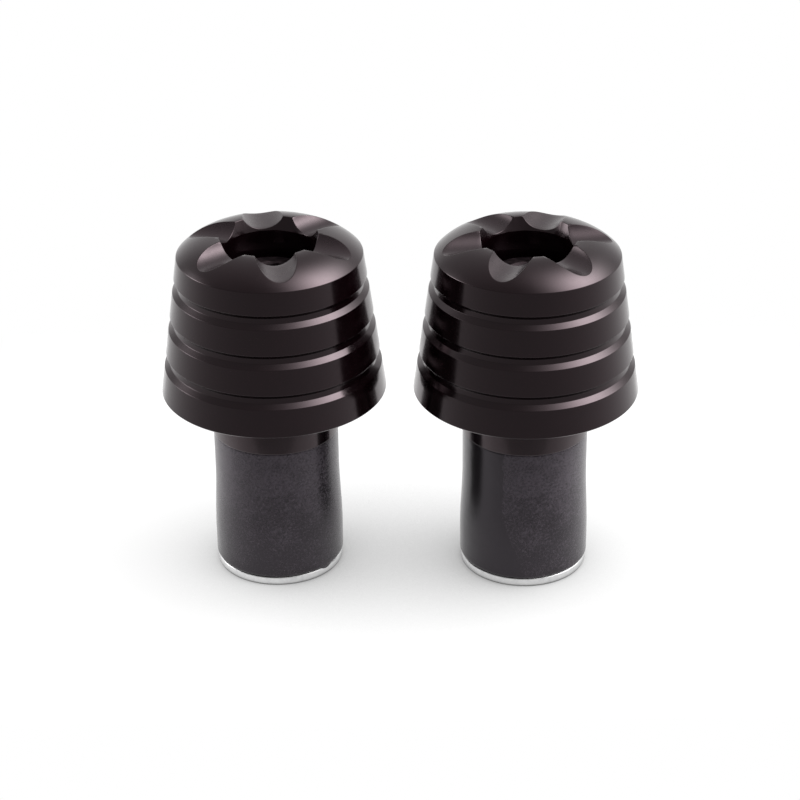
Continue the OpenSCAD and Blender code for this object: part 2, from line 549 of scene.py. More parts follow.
@dataclass(frozen=True)
class RubberFinish:
    """Matt black rubber with fine specks of pale dust, more of them in clouds, paler and rougher towards the
    top, and with painted shade where the dust is thinned on one side.

    Args:
        name: Name of the material.
        black: Colour of the clean rubber.
        dust: Colour of the dust on it.
        sheen: Tint of what the rubber mirrors.
        roughness: Roughness of the rubber.
        haze: Strength of the pale haze where the dust is seen at a slant.
        haze_rough: Roughness of that haze.
        painted_shade_depth: How much of the dust is taken away on the side with painted shade, which darkens
            it there.
        lighter_upwards: Heights between which the rubber gets paler and rougher, darker towards the lower
            end.
        lighter_upwards_by: How much that takes away at the first height and adds at the second.
        cloud: Noise that lays out clouds of dust.
        speck: Noise that lays out its specks.
        speck_share: Share of the specks in the dust, next to the clouds.
        dust_span: Values between which the dust covers the rubber.
        rough_span: Values between which the dust dulls it.
        rough_by: Change of the roughness at both ends.
        skin: Noise of the moulded skin.
        skin_relief: Strength and depth of it.
        cloud_relief: Strength and depth of the dust's clouds.
    """

    name: str = "dusty_black_rubber"
    black: Colour = (0.0048, 0.0039, 0.0050)
    dust: Colour = (0.0690, 0.0580, 0.0705)
    sheen: Colour = (1.0, 0.89, 1.0)
    roughness: float = 0.24
    haze: float = 0.04
    haze_rough: float = 0.45
    painted_shade_depth: float = 0.23
    lighter_upwards: Span = (2.0 * MM, 19.0 * MM)
    lighter_upwards_by: Span = (-0.07, 0.06)
    cloud: Grain = Grain(210.0, 5.0, 0.6)
    speck: Grain = Grain(3400.0, 4.0, 0.75)
    speck_share: float = 0.72
    dust_span: Span = (0.40, 0.66)
    rough_span: Span = (0.35, 0.65)
    rough_by: Span = (-0.02, 0.09)
    skin: Grain = Grain(2600.0, 5.0, 0.6)
    skin_relief: Span = (0.10, 0.03 * MM)
    cloud_relief: Span = (0.12, 0.08 * MM)

    def material(self) -> bpy.types.Material:
        """Returns the finish as a new material."""
        material, sheet = new_sheet(self.name)
        place = sheet.place()
        height = sheet.add("ShaderNodeSeparateXYZ", {0: place}).outputs[2]
        cloud = sheet.noise(place, self.cloud)
        clouds = sheet.product(cloud, 1.0 - self.speck_share)
        specks = sheet.product(sheet.noise(place, self.speck), self.speck_share)
        # The height term makes the rubber paler towards the top and darker towards the lower end.
        dust = sheet.total(clouds, specks, sheet.spread(height, self.lighter_upwards, self.lighter_upwards_by))
        # Painted shade: the vertex layer thins the dust on one side of the sleeve, which makes that side
        # darker.
        painted_shade = sheet.add("ShaderNodeAttribute", attribute_name=PAINTED_SHADE).outputs["Fac"]
        dust = sheet.math("SUBTRACT", dust, sheet.product(painted_shade, self.painted_shade_depth))
        covered = sheet.spread(dust, self.dust_span)
        skin = sheet.bump(sheet.noise(place, self.skin), self.skin_relief)
        sheet.surface(
            {
                "Base Color": sheet.mix(covered, rgba(self.black), rgba(self.dust)),
                "Roughness": sheet.spread(dust, self.rough_span, shifted(self.roughness, self.rough_by)),
                "Specular Tint": rgba(self.sheen),
                "Sheen Weight": self.haze,
                "Sheen Roughness": self.haze_rough,
                "Normal": sheet.bump(cloud, self.cloud_relief, skin),
            }
        )
        return material


ANODISED = AnodisedFinish()
RUBBER = RubberFinish()
OXIDE = MetalFinish(
    "black_oxide_steel",
    clean=(0.017, 0.0115, 0.0135),
    dull=(0.048, 0.033, 0.038),
    roughness=0.48,
    lines=None,
    metal=0.85,
    marks=Grain(1400.0, 6.0, 0.6),
    dull_span=(0.4, 0.75),
    rough_span=(0.3, 0.7),
    rough_by=(-0.06, 0.1),
    grit=Grain(5000.0, 4.0, 0.6),
    grit_relief=(0.12, 0.01 * MM),
)
ZINC = MetalFinish(
    "bright_zinc_plate",
    clean=(0.52, 0.53, 0.55),
    dull=(0.40, 0.41, 0.43),
    roughness=0.28,
    lines=(0.05, 0.01 * MM),
)
ALUMINIUM = MetalFinish(
    "bare_turned_aluminium",
    clean=(0.86, 0.86, 0.86),
    dull=(0.70, 0.70, 0.71),
    roughness=0.30,
    lines=(0.10, 0.01 * MM),
)


@dataclass
class Unit:
    """Place of one bar end and the heights of its stack, read from the frame.

    Args:
        side: Which bar end it is.
    """

    side: Side
    x: float = field(init=False)
    y: float = field(init=False)
    foot_z: float = field(init=False)
    sleeve_z: float = field(init=False)
    collar_z: float = field(init=False)
    base_z: float = field(init=False)
    rim_z: float = field(init=False)
    head_top_z: float = field(init=False)
    screw_end_z: float = field(init=False)

    def __post_init__(self) -> None:
        """Reads the boxes of the CAD nodes."""
        low, high = self.box(Piece.END_NUT)
        self.x = (low.x + high.x) / 2.0
        self.y = (low.y + high.y) / 2.0
        self.foot_z = low.z
        self.sleeve_z = self.box(Piece.RUBBER_SLEEVE)[0].z
        self.collar_z = self.box(Piece.COLLAR)[0].z
        self.base_z, self.rim_z = (corner.z for corner in self.box(Piece.WEIGHT))
        self.screw_end_z, self.head_top_z = (corner.z for corner in self.box(Piece.CAP_SCREW))

    def node(self, piece: Piece) -> str:
        """Returns the name of a piece's CAD node."""
        return f"{self.side.value}_{piece.value}"

    def box(self, piece: Piece) -> tuple[Vector, Vector]:
        """Returns the lowest and highest corner of a piece's CAD node."""
        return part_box(self.node(piece))

    def radius(self, piece: Piece) -> float:
        """Returns half the width of a piece's CAD node."""
        low, high = self.box(piece)
        return (high.x - low.x) / 2.0

    def place(self, made: bpy.types.Object, piece: Piece, body: Body, slot: Slot) -> None:
        """Sets a dressed piece on its axis and lets it stand for its CAD node.

        Args:
            made: The new piece, built round the origin's z axis.
            piece: The piece that it is.
            body: Body of the bar end that it moves with.
            slot: Material slot of the record; not used.
        """
        made.location = (self.x, self.y, 0.0)
        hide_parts(self.node(piece))
        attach(made, f"{self.side.value}_{body.value}")
        LOG.info("%s: %d faces", made.name, len(made.data.polygons))


@dataclass
class ScallopedDome:
    """The domed end of a weight, with round-nosed cuts that run out from its tapered mouth.

    Args:
        rim_r: Radius of the mouth's rim.
        rim_z: Height of its rim.
        shoulder_r: Radius where the dome meets the cone.
        rise: Height of the rim above the shoulder.
        taper: How much the mouth narrows for each unit of depth.
        cutter_r: Radius of the cutter that leaves a scallop.
        depth: Depth of a scallop's floor below the rim.
        count: Number of scallops.
        edge: Width of the broken edge along a scallop and the rim.
        most_edge: Largest share of a short floor that each of its two edges may take.
        band: Width of the strip next to the shoulder that the cone's mesh holds.
        scallop_lines: Lines over half a scallop.
        ridge_lines: Lines over half a ridge.
        floor_steps: Steps of a line on a scallop's floor.
        dome_steps: Steps of a line on the dome.
        edge_steps: Steps of a line over a broken edge.
    """

    rim_r: float
    rim_z: float
    shoulder_r: float
    rise: float
    taper: float
    cutter_r: float = 3.0 * MM
    depth: float = 1.6 * MM
    count: int = 6
    edge: float = 0.07 * MM
    most_edge: float = 0.42
    band: float = 0.45 * MM
    scallop_lines: int = 18
    ridge_lines: int = 4
    floor_steps: int = 7
    dome_steps: int = 10
    edge_steps: int = 4
    dome_r: float = field(init=False)
    cutter_z: float = field(init=False)
    tip_r: float = field(init=False)
    half_width: float = field(init=False)
    outer_r: float = field(init=False)

    def __post_init__(self) -> None:
        """Works out the arc of the dome and the reach of a scallop."""
        run = self.shoulder_r - self.rim_r
        self.dome_r = (run * run + self.rise * self.rise) / (2.0 * self.rise)
        self.cutter_z = self.rim_z - self.depth + self.cutter_r
        self.tip_r = self.rim_r + math.sqrt(self.dome_r**2 - (self.dome_r - self.depth) ** 2)
        self.half_width = math.sqrt(self.cutter_r**2 - (self.cutter_r - self.depth) ** 2)
        self.outer_r = self.shoulder_r - self.band

    def dome_z(self, r: float) -> float:
        """Returns the height of the dome at a radius."""
        return self.rim_z - self.dome_r + math.sqrt(self.dome_r**2 - (r - self.rim_r) ** 2)

    def floor_z(self, across: float) -> float:
        """Returns the height of a scallop's floor at a distance from its middle line."""
        return self.cutter_z - math.sqrt(self.cutter_r**2 - across * across)

    def mouth_r(self, z: float) -> float:
        """Returns the radius of the tapered mouth at a height."""
        return self.rim_r - (self.rim_z - z) * self.taper

    def half_shares(self) -> list[tuple[float, float]]:
        """Lists the lines of half a sector, from a scallop's middle to the ridge beside it.

        Returns:
            Pairs of a line's share of the scallop's width, 1 or more on the ridge, and its angle at the rim.
        """
        edge_angle = math.asin(self.half_width / self.rim_r)
        ridge_angle = math.pi / self.count
        lines = []
        for i in range(self.scallop_lines):
            share = i / self.scallop_lines
            lines.append((share, math.asin(share * self.half_width / self.rim_r)))
        for i in range(self.ridge_lines + 1):
            lines.append((1.0 + i, edge_angle + (ridge_angle - edge_angle) * i / self.ridge_lines))
        return lines

    def sector(self) -> list[tuple[float, float]]:
        """Returns the lines of a whole sector, without the last, which starts the next one."""
        half = self.half_shares()
        mirrored = [(share, -angle) for share, angle in reversed(half[1:])]
        return mirrored + half[:-1]

    def angles(self, first: float) -> list[float]:
        """Returns the angle of each line round the rim, with a scallop at angle first."""
        step = TURN / self.count
        return [first + k * step + angle for k in range(self.count) for _, angle in self.sector()]

    def milled(self) -> list[list[float]]:
        """Returns 1 for each point of rows() that lies on a scallop's floor, and 0 for the others."""
        floor = range(self.edge_steps, self.edge_steps + self.floor_steps + 1)
        length = 2 * self.edge_steps + self.floor_steps + self.dome_steps + 1
        made = []
        for share, _ in self.sector() * self.count:
            made.append([1.0 if share < 1.0 and i in floor else 0.0 for i in range(length)])
        return made

    def soften(self, a: Vector, corner: Vector, b: Vector) -> list[Vector]:
        """Returns points on a smooth curve from a to b that rounds off a corner."""
        made = []
        for i in range(self.edge_steps + 1):
            t = i / self.edge_steps
            made.append(a * (1 - t) ** 2 + corner * 2 * t * (1 - t) + b * t**2)
        return made

    def line(self, share: float, angle: float) -> list[Vector]:
        """Runs one line from the counterbore's wall, over the rim, out to the shoulder.

        Args:
            share: Share of the scallop's half width, or 1 and more on the ridge.
            angle: Angle of the line at the rim, from the scallop's middle.

        Returns:
            Points in the sector's frame, with the scallop along x.
        """
        sign = -1.0 if angle < 0 else 1.0
        across = self.rim_r * math.sin(angle)
        on_ridge = share >= 1.0
        lip_z = self.rim_z if on_ridge else self.floor_z(across)
        lip_angle = angle if on_ridge else math.asin(across / self.mouth_r(lip_z))
        lip_way = Vector((math.cos(lip_angle), math.sin(lip_angle)))
        lip = Vector((*(lip_way * self.mouth_r(lip_z)), lip_z))
        wall_z = lip_z - self.edge
        wall = Vector((*(lip_way * self.mouth_r(wall_z)), wall_z))
        if on_ridge:
            start_r, start_angle = self.rim_r, angle
            crest = lip
        else:
            start_r = self.tip_r - (self.tip_r - self.rim_r) * share**2
            crest_z = self.dome_z(start_r)
            half_cut = math.sqrt(max(self.cutter_r**2 - (self.cutter_z - crest_z) ** 2, 0.0))
            start_angle = sign * math.asin(half_cut / start_r)
            crest = Vector((start_r * math.cos(start_angle), start_r * math.sin(start_angle), crest_z))
        dome = self.dome_line(start_r, start_angle, angle)
        if on_ridge:
            rim = self.soften(wall, lip, dome[0])
            held = [rim[-1]] * (self.floor_steps - 1 + self.edge_steps + 1)
            return rim + held + dome[1:]
        floor = self.floor_line(lip, crest)
        rim = self.soften(wall, lip, floor[0])
        side = self.soften(floor[-1], crest, dome[0])
        return rim + floor[1:-1] + side + dome[1:]

    def floor_line(self, lip: Vector, crest: Vector) -> list[Vector]:
        """Runs one line over a scallop's floor.

        Args:
            lip: Where the line starts at the mouth.
            crest: Where it meets the dome.

        Returns:
            Points from just past the lip to just short of the crest.
        """
        span = (crest - lip).length
        inset = min(self.edge / span, self.most_edge)
        made = []
        for i in range(self.floor_steps + 1):
            t = inset + (1.0 - 2.0 * inset) * i / self.floor_steps
            across = lip.y + (crest.y - lip.y) * t
            made.append(Vector((lip.x + (crest.x - lip.x) * t, across, self.floor_z(across))))
        return made

    def dome_line(self, start_r: float, start_angle: float, end_angle: float) -> list[Vector]:
        """Runs one line over the dome.

        Args:
            start_r: Radius that the line starts at.
            start_angle: Angle there, from the scallop's middle.
            end_angle: Angle next to the shoulder.

        Returns:
            Points from just past the start to the strip next to the shoulder.
        """
        inset = self.edge / (self.outer_r - start_r)
        made = []
        for i in range(self.dome_steps + 1):
            t = inset + (1.0 - inset) * i / self.dome_steps
            r = start_r + (self.outer_r - start_r) * t
            angle = start_angle + (end_angle - start_angle) * t
            made.append(Vector((r * math.cos(angle), r * math.sin(angle), self.dome_z(r))))
        return made

    def rows(self, first: float) -> list[list[Vector]]:
        """Builds the whole domed end.

        Args:
            first: Angle of one scallop from the x axis.

        Returns:
            One list of points for each line round the rim, from the wall out to the shoulder.
        """
        step = TURN / self.count
        made = []
        for k in range(self.count):
            turn = first + k * step
            cos, sin = math.cos(turn), math.sin(turn)
            for share, angle in self.sector():
                line = self.line(share, angle)
                made.append([Vector((cos * p.x - sin * p.y, sin * p.x + cos * p.y, p.z)) for p in line])
        return made


@dataclass
class TurnedWeight:
    """The grooved cone with its domed end, counterbore and recess.

    Args:
        unit: The bar end that it belongs to.
        first_scallop: Angle of one scallop from the x axis, in degrees.
    """

    unit: Unit
    first_scallop: float
    base_r: float = 15.1 * MM
    shoulder_r: float = 12.3 * MM
    dome_rise: float = 2.5 * MM
    bore_r: float = 5.9 * MM
    counterbore_depth: float = 12.6 * MM
    mouth_flare: float = 0.6 * MM
    mouth_depth: float = 1.85 * MM
    shank_hole_r: float = 3.3 * MM
    recess_r: float = 8.65 * MM
    recess_depth: float = 2.5 * MM
    base_chamfer: float = 0.15 * MM
    groove_count: int = 3
    groove_start: float = 3.05 * MM
    groove_pitch: float = 5.35 * MM
    groove_depth: float = 0.6 * MM
    groove_floor: float = 0.7 * MM
    groove_ramp: float = 0.6 * MM
    sharp_edge: float = 0.05 * MM
    soft_edge: float = 0.12 * MM
    shoulder_edge: float = 0.22 * MM
    mouth_edge: float = 0.4 * MM
    edge_steps: int = 5
    same: float = 1e-9

    def cone_r(self, z: float) -> float:
        """Returns the radius of the cone's side at a height."""
        shoulder_z = self.unit.rim_z - self.dome_rise
        share = (z - self.unit.base_z) / (shoulder_z - self.unit.base_z)
        return self.base_r + (self.shoulder_r - self.base_r) * share

    def side_corners(self, dome: ScallopedDome) -> list[Corner]:
        """Lists the corners from the dome's edge down the grooved side to the base.

        Args:
            dome: The domed end, which the outline starts from.

        Returns:
            Corners from the top down.
        """
        shoulder_z = self.unit.rim_z - self.dome_rise
        corners = [
            Corner(dome.outer_r, dome.dome_z(dome.outer_r)),
            Corner(self.shoulder_r, shoulder_z, self.shoulder_edge),
        ]
        for i in range(self.groove_count):
            land = shoulder_z - self.groove_start - i * self.groove_pitch
            floor_top = land - self.groove_ramp
            floor = floor_top - self.groove_floor
            next_land = floor - self.groove_ramp
            corners += [
                Corner(self.cone_r(land), land, self.soft_edge),
                Corner(self.cone_r(floor_top) - self.groove_depth, floor_top, self.soft_edge),
                Corner(self.cone_r(floor) - self.groove_depth, floor, self.soft_edge),
                Corner(self.cone_r(next_land), next_land, self.soft_edge),
            ]
        base_z = self.unit.base_z
        chamfer_z = base_z + self.base_chamfer
        corners += [
            Corner(self.cone_r(chamfer_z), chamfer_z, self.sharp_edge),
            Corner(self.base_r - self.base_chamfer, base_z, self.sharp_edge),
        ]
        return corners

    def inner_corners(self, dome: ScallopedDome) -> list[Corner]:
        """Lists the corners from the base, through recess and holes, up into the tapered mouth.

        Args:
            dome: The domed end, which the outline leads to.

        Returns:
            Corners from the base up.
        """
        base_z = self.unit.base_z
        recess_z = base_z + self.recess_depth
        floor_z = self.unit.rim_z - self.counterbore_depth
        mouth_z = self.unit.rim_z - self.mouth_depth
        taper_z = mouth_z + self.soft_edge
        return [
            Corner(self.recess_r, base_z, self.soft_edge),
            Corner(self.recess_r, recess_z),
            Corner(self.shank_hole_r, recess_z),
            Corner(self.shank_hole_r, floor_z, self.sharp_edge),
            Corner(self.bore_r, floor_z, self.sharp_edge),
            Corner(self.bore_r, mouth_z - self.mouth_depth),
            Corner(self.bore_r, mouth_z, self.mouth_edge),
            Corner(dome.mouth_r(taper_z), taper_z),
        ]

    def build(self) -> bpy.types.Object:
        """Returns the dressed weight's mesh as an object."""
        taper = self.mouth_flare / self.mouth_depth
        rim_r = self.bore_r + self.mouth_flare
        dome = ScallopedDome(rim_r, self.unit.rim_z, self.shoulder_r, self.dome_rise, taper)
        first = math.radians(self.first_scallop)
        lathe = TurnedMesh(dome.angles(first))
        outline = rounded(self.side_corners(dome) + self.inner_corners(dome), self.edge_steps)
        marks = lathe.bm.verts.layers.float.new(MILLED)
        rings = lathe.lathe(outline)
        columns = []
        for row, milled in zip(dome.rows(first), dome.milled()):
            column = []
            for point, mark in zip(row[:-1], milled):
                if column and (column[-1].co - point).length < self.same:
                    column.append(column[-1])
                else:
                    column.append(lathe.bm.verts.new(point))
                    column[-1][marks] = mark
            columns.append(column)
        loops = [list(loop) for loop in zip(*columns)]
        lathe.skin(loops)
        lathe.bridge(loops[-1], rings[0])
        lathe.bridge(rings[-1], loops[0])
        return lathe.finish(f"{self.unit.side.value}_turned_weight")


@dataclass
class CapScrew:
    """Socket head cap screw with a knurled head, a countersunk hexagon and a rolled thread.

    Args:
        unit: The bar end that it belongs to.
        socket_angle: Angle of one corner of the hexagon, in degrees.
    """

    unit: Unit
    socket_angle: float
    head_r: float = 5.0 * MM
    head_h: float = 6.0 * MM
    head_chamfer: float = 0.5 * MM
    knurls: int = 48
    knurl_depth: float = 0.12 * MM
    points_per_knurl: int = 4
    socket_af: float = 5.0 * MM
    socket_depth: float = 3.0 * MM
    countersink_r: float = 2.98 * MM
    point_depth: float = 1.2 * MM
    shank_r: float = 3.0 * MM
    thread_pitch: float = 1.0 * MM
    thread_depth: float = 0.55 * MM
    thread_crest: float = 0.12
    thread_steps: int = 8
    thread_length: float = 24.0 * MM
    end_chamfer: float = 0.8 * MM
    neck: float = 0.25 * MM
    bearing_inset: float = 0.35 * MM
    bearing_edge: float = 0.3 * MM
    knurl_end: float = 0.15 * MM
    knurl_runout: float = 0.05 * MM
    chamfer_low_edge: float = 0.2 * MM
    chamfer_top_edge: float = 0.25 * MM
    countersink_edge: float = 0.05 * MM
    countersink_slope: float = 30.0
    socket_edge: float = 0.04 * MM

    def hexagon(self, angle: float) -> float:
        """Returns the distance from the axis to the hexagon's side at an angle."""
        sixth = math.pi / 3.0
        off = (angle - math.radians(self.socket_angle)) % sixth - sixth / 2.0
        return self.socket_af / 2.0 / math.cos(off)

    def knurl(self, i: int) -> float:
        """Returns the radius of the knurled side at the i-th angle."""
        high = i % self.points_per_knurl < self.points_per_knurl / 2
        return self.head_r if high else self.head_r - self.knurl_depth

    def thread_r(self, angle: float, z: float) -> float:
        """Follows the thread round the shank.

        Args:
            angle: Angle round the axis.
            z: Height.

        Returns:
            The radius of the shank there, chamfered at its end and plain above the thread.
        """
        phase = (z / self.thread_pitch - angle / TURN) % 1.0
        rise = abs(2.0 * phase - 1.0)
        groove = held((rise - self.thread_crest) / (1.0 - 2.0 * self.thread_crest))
        above_end = z - self.unit.screw_end_z
        below_top = self.unit.screw_end_z + self.thread_length - z
        fade = held(below_top / self.thread_pitch)
        limit = self.shank_r - max(self.end_chamfer - above_end, 0.0)
        return min(self.shank_r - self.thread_depth * groove * fade, limit)

    def build(self) -> bpy.types.Object:
        """Returns the dressed screw's mesh as an object."""
        count = self.knurls * self.points_per_knurl
        angles = [a + math.radians(self.socket_angle) for a in even_angles(count)]
        lathe = TurnedMesh(angles)
        top = self.unit.head_top_z
        seat = top - self.head_h
        hexagon = [self.hexagon(a) for a in angles]
        knurled = [self.knurl(i) for i in range(count)]
        knurl_r = self.head_r - self.knurl_depth
        chamfer_z = top - self.head_chamfer
        loops: list[list[Point]] = []
        steps = int(self.thread_length / self.thread_pitch) * self.thread_steps
        for i in range(steps + 1):
            z = self.unit.screw_end_z + self.thread_length * i / steps
            loops.append([(self.thread_r(a, z), z) for a in angles])
        underside = [
            (self.shank_r, seat - self.neck),
            (self.shank_r + self.neck, seat),
            (self.head_r - self.bearing_inset, seat),
            (knurl_r, seat + self.bearing_edge),
        ]
        loops += [[point] * count for point in underside]
        for z in (seat + self.bearing_edge + self.knurl_end, chamfer_z - self.knurl_end):
            loops.append([(r, z) for r in knurled])
        slope = math.tan(math.radians(self.countersink_slope))
        edge = self.countersink_edge
        rim = [
            Corner(knurl_r, chamfer_z - self.knurl_end + self.knurl_runout),
            Corner(knurl_r, chamfer_z, self.chamfer_low_edge),
            Corner(self.head_r - self.head_chamfer, top, self.chamfer_top_edge),
            Corner(self.countersink_r, top, edge),
            Corner(self.countersink_r - edge, top - edge * slope),
        ]
        loops += [[point] * count for point in rounded(rim)]
        edge = self.socket_edge
        floor_z = top - self.socket_depth
        sunk = [(r, top - (self.countersink_r - r) * slope) for r in hexagon]
        loops.append(sunk)
        loops.append([(r - edge, z - edge * 2) for r, z in sunk])
        loops.append([(r - edge, floor_z) for r in hexagon])
        loops.append([(min(r, self.socket_af / 2.0) - 2 * edge, floor_z) for r in hexagon])
        rings = [lathe.loop(points) for points in loops]
        lathe.skin(rings)
        lathe.cap(rings[0], self.unit.screw_end_z)
        lathe.cap(rings[-1], floor_z - self.point_depth)
        return lathe.finish(f"{self.unit.side.value}_knurled_cap_screw")


@dataclass
class PlainRing:
    """Plain ring between two level faces, as wide as its CAD node.

    Args:
        unit: The bar end that it belongs to.
        piece: The piece that it is.
        word: What its name ends with.
        hole_r: Radius of its hole.
        edges: Rounding of its outer lower, outer upper, inner upper and inner lower edge.
        segments: Vertices of each ring.
    """

    unit: Unit
    piece: Piece
    word: str
    hole_r: float
    edges: tuple[float, float, float, float]
    segments: int

    def build(self) -> bpy.types.Object:
        """Returns the dressed ring's mesh as an object."""
        low, high = (corner.z for corner in self.unit.box(self.piece))
        rim_r = self.unit.radius(self.piece)
        places = ((rim_r, low), (rim_r, high), (self.hole_r, high), (self.hole_r, low))
        corners = [Corner(r, z, edge) for (r, z), edge in zip(places, self.edges)]
        return turned_ring(f"{self.unit.side.value}_{self.word}", corners, self.segments)


def washer(unit: Unit) -> PlainRing:
    """Returns the flat washer, rounded on its upper edges where the punch went in."""
    cut, punched = 0.05 * MM, 0.25 * MM
    edges = (cut, punched, punched, cut)
    return PlainRing(unit, Piece.WASHER, "stamped_washer", hole_r=3.2 * MM, edges=edges, segments=128)


def collar(unit: Unit) -> PlainRing:
    """Returns the smooth ring between weight and rubber, which sits in the weight's recess."""
    outer, inner = 0.18 * MM, 0.06 * MM
    edges = (outer, outer, inner, inner)
    return PlainRing(unit, Piece.COLLAR, "smooth_collar", hole_r=3.3 * MM, edges=edges, segments=192)


@dataclass
class RubberSleeve:
    """Rubber plug: a moulded sleeve, not quite round, that flares where the nut spreads it.

    Args:
        unit: The bar end that it belongs to.
        seed: Shift of the unevenness, so that no two sleeves are the same.
        flash_angle: Angle of a tongue of moulding flash at the lower edge in degrees, or None.
        painted_shade_angle: Middle of the side with painted shade, where the dust is thinned to darken it,
            in degrees, or None.
    """

    unit: Unit
    seed: float
    flash_angle: float | None
    painted_shade_angle: float | None
    straight_r: float = 8.45 * MM
    flare_top: float = 14.0 * MM
    flare_full: float = 3.5 * MM
    edge: float = 0.5 * MM
    top_edge: float = 0.15 * MM
    bore_r: float = 5.5 * MM
    seat_r: float = 7.1 * MM
    seat_h: float = 12.0 * MM
    unevenness: float = 0.035 * MM
    coarse_round: float = 1.6
    coarse_height: float = 6.0 * MM
    fine_round: float = 7.0
    fine_height: float = 1.6 * MM
    fine_share: float = 0.25
    flash_drop: float = 0.26 * MM
    flash_width: float = 7.0
    flash_reach: float = 1.2 * MM
    flash_lead: float = 3.0
    flange_gap: float = 0.05 * MM
    lip: float = 0.03 * MM
    # Painted shade on one side: its half width and soft edge in degrees, and how much wider it gets towards
    # the lower end.
    painted_shade_half: float = 38.0
    painted_shade_edge: float = 3.0
    painted_shade_low: float = 9.0 * MM
    painted_shade_lean: float = 22.0
    seat_gap: float = 0.02 * MM
    segments: int = 224
    rows: int = 90
    edge_rows: int = 6
    top_rows: int = 4
    travel: float = 3.0 * MM
    flare_r: float = field(init=False)
    clear_r: float = field(init=False)

    def __post_init__(self) -> None:
        """Reads the sleeve's widest radius and that of the nut from the frame."""
        self.flare_r = self.unit.radius(Piece.RUBBER_SLEEVE) - self.unevenness
        self.clear_r = self.unit.radius(Piece.END_NUT) + self.flange_gap

    def flare(self, height: float) -> float:
        """Returns the radius of the smooth sleeve at a height above its lower end."""
        t = held((self.flare_top - height) / (self.flare_top - self.flare_full))
        return self.straight_r + (self.flare_r - self.straight_r) * (1.0 - math.cos(math.pi * t)) / 2.0

    def bulge(self, angle: float, z: float) -> float:
        """Makes the unevenness of the moulded skin.

        Args:
            angle: Angle round the axis.
            z: Height above the lower end.

        Returns:
            How far the skin stands out of the smooth sleeve there, or into it.
        """
        cos, sin = math.cos(angle), math.sin(angle)
        wide, near = self.coarse_round, self.fine_round
        coarse = noise.noise(Vector((cos * wide, sin * wide, z / self.coarse_height + self.seed)))
        fine = noise.noise(Vector((cos * near, sin * near, z / self.fine_height - self.seed)))
        return self.unevenness * ((1.0 - self.fine_share) * coarse + self.fine_share * fine)

    def flash(self, angle: float) -> float:
        """Returns the share of the flash at an angle, 1 in its middle and 0 beside it."""
        if self.flash_angle is None:
            return 0.0
        return max(1.0 - (degrees_apart(angle, self.flash_angle) / self.flash_width) ** 2, 0.0)

    def painted_shade(self, angle: float, height: float) -> float:
        """Lays out the side with painted shade, which gets wider towards the lower end.

        Args:
            angle: Angle round the axis.
            height: Height above the lower end.

        Returns:
            How much painted shade there is, 0 where there is none and 1 where the dust is thinned in full.
        """
        if self.painted_shade_angle is None:
            return 0.0
        lower = held(1.0 - height / self.painted_shade_low)
        half = self.painted_shade_half + self.painted_shade_lean * lower
        inside = half - degrees_apart(angle, self.painted_shade_angle)
        return held(inside / self.painted_shade_edge)

    def drop(self, angle: float, height: float) -> float:
        """Returns how far the flash pulls the skin down, once it has cleared the nut's edge."""
        past = max(self.flash_lead * self.flash(angle) - 1.0, 0.0) / (self.flash_lead - 1.0)
        return self.flash_drop * past * max(1.0 - height / self.flash_reach, 0.0)

    def outer(self, angle: float, height: float, length: float) -> float:
        """Shapes the skin, with its rounded ends and its flash.

        Args:
            angle: Angle round the axis.
            height: Height above the lower end.
            length: Length of the sleeve.

        Returns:
            The radius of the skin there.
        """
        smooth = self.flare(height) + self.bulge(angle, height)
        for end, radius in ((height, self.edge), (length - height, self.top_edge)):
            if end < radius:
                smooth -= radius - math.sqrt(radius**2 - (radius - end) ** 2)
        share = self.flash_lead * self.flash(angle) * max(1.0 - height / self.flash_reach, 0.0)
        return smooth + max(self.clear_r - smooth, 0.0) * min(share, 1.0)

    def heights(self, length: float) -> list[float]:
        """Spaces the rows of the skin.

        Args:
            length: Length of the sleeve.

        Returns:
            Heights of the rows above the lower end, closer together at the rounded ends.
        """
        low, high = (
            [radius * (1.0 - math.cos(math.pi / 2.0 * i / count)) for i in range(count + 1)]
            for radius, count in ((self.edge, self.edge_rows), (self.top_edge, self.top_rows))
        )
        tops = [length - height for height in reversed(high)]
        between = tops[0] - low[-1]
        return low + [low[-1] + between * i / self.rows for i in range(1, self.rows)] + tops

    def build(self) -> bpy.types.Object:
        """Returns the dressed sleeve's mesh as an object."""
        low = self.unit.sleeve_z + self.seat_gap
        length = self.unit.collar_z - low
        lathe = TurnedMesh(even_angles(self.segments))
        # This layer holds the painted shade on one side of the sleeve.
        clean = lathe.bm.verts.layers.float.new(PAINTED_SHADE)
        loops: list[list[Point]] = [[(self.seat_r, low)] * self.segments]
        loops.append([(self.outer(a, 0.0, length) - self.lip, low) for a in lathe.angles])
        for h in self.heights(length):
            loops.append([(self.outer(a, h, length), low + h - self.drop(a, h)) for a in lathe.angles])
        inside = [(self.bore_r, low + length), (self.bore_r, low + self.seat_h)]
        loops += [[point] * self.segments for point in inside]
        rings = [lathe.loop(points) for points in loops]
        lathe.skin(rings, closed=True)
        for ring in rings:
            for angle, vertex in zip(lathe.angles, ring):
                vertex[clean] = self.painted_shade(angle, vertex.co.z - low)
        return lathe.finish(f"{self.unit.side.value}_moulded_sleeve")

    def squeeze(self, made: bpy.types.Object) -> None:
        """Gives the sleeve a mesh of its own.

        Args:
            made: The dressed sleeve, in its place.
        """
        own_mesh(made)


